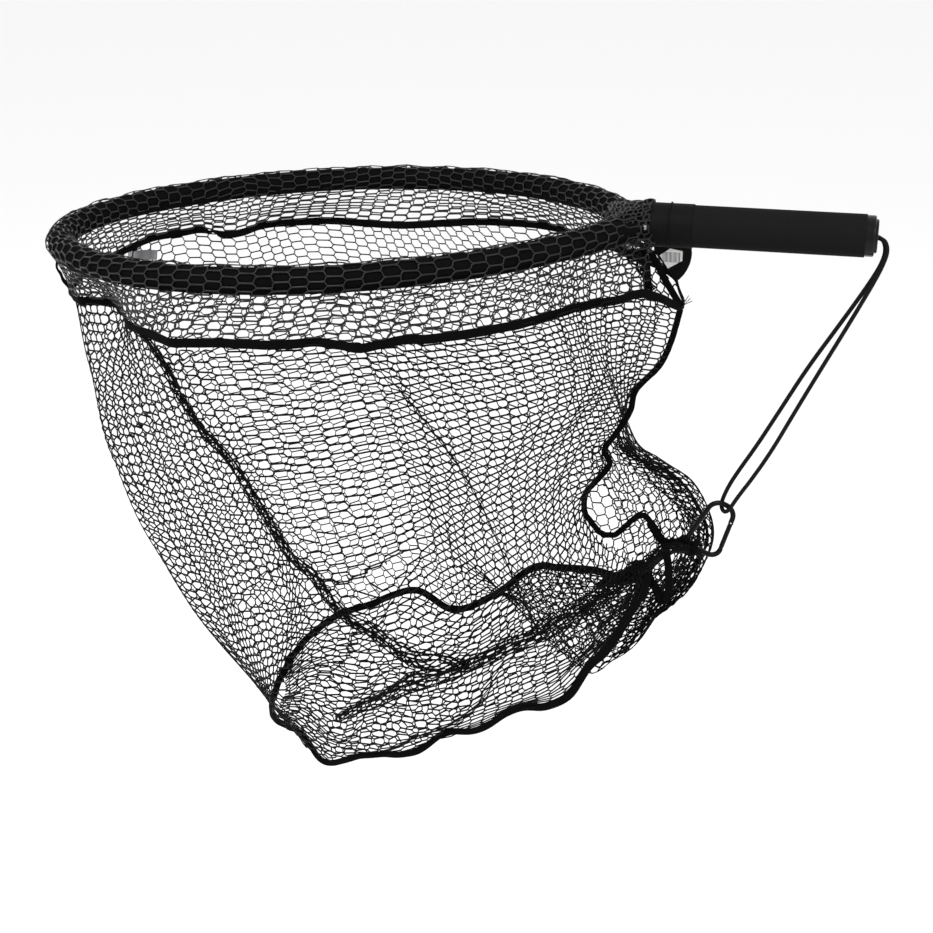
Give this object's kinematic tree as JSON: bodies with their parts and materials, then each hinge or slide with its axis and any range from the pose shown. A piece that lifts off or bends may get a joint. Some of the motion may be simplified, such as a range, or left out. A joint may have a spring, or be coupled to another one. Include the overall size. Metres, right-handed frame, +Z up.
{
  "type": "landing net",
  "caption": "Landing net with a floating foam hoop, deep mesh bag, foam handle and an elastic cord with a carabiner that folds the net.",
  "frame": {"origin": "middle of the foam grip, on the handle's axis", "axes": "+X along the handle from the hoop to the end cap, +Y across the hoop away from the side the carabiner hangs on, +Z up, with the bag hanging towards -Z"},
  "size_m": [0.7877, 0.4674, 0.5695],
  "materials": {
    "tube": "satin",
    "foam": "matte closed-cell foam",
    "netting": "knotless mesh of fine polyester thread",
    "plug": "matte",
    "sleeve": "satin",
    "cap": "gloss",
    "cord": "braided",
    "tape": "woven",
    "label": "thin satin",
    "carabiner": "anodised satin black",
    "steel": "plain",
    "card": "printed card",
    "sticker": "paper",
    "string": "twisted"
  },
  "bodies": {
    "net_and_handle": {"hoop_tube": "tube", "hoop_foam": "foam", "rim_netting": "netting", "neck_plug": "plug", "neck_rivets": "steel", "neck_sleeve": "sleeve", "handle_tube": "tube", "grip_foam": "foam", "end_cap": "cap", "end_disc": "cap", "cord_knot": "cord", "collar_netting": "netting", "wall_netting_front": "netting", "wall_netting_back": "netting", "base_netting": "netting", "collar_binding": "tape", "base_binding": "tape", "handle_side_tape": "tape", "tip_side_tape": "tape", "neck_tapes": "tape", "tape_tail": "tape", "care_label": "label", "elastic_cord": "cord"},
    "carabiner": {"carabiner_body": "carabiner", "gate_pin": "steel", "net_gather": "tape"},
    "gate": {"carabiner_gate": "carabiner", "gate_spring": "steel"},
    "tag": {"hang_tag": "card", "tag_sticker": "sticker", "tag_string": "string"}
  },
  "joints": [
    {"name": "carabiner_swing", "type": "hinge", "parent": "net_and_handle", "child": "carabiner", "pos_m": [-0.0354, -0.008, -0.2742], "axis": [0, 1, 0], "range_deg": [-10, 10]},
    {"name": "gate_hinge", "type": "hinge", "parent": "carabiner", "child": "gate", "pos_m": [-0.0244, -0.008, -0.2812], "axis": [0, 1, 0], "range_deg": [0, 20], "stiffness_Nm_per_rad": 0.1, "springref_deg": -17.19},
    {"name": "tag_swing", "type": "hinge", "parent": "net_and_handle", "child": "tag", "pos_m": [-0.096, 0, 0], "axis": [1, 0, 0], "range_deg": [0, 80]}
  ]
}
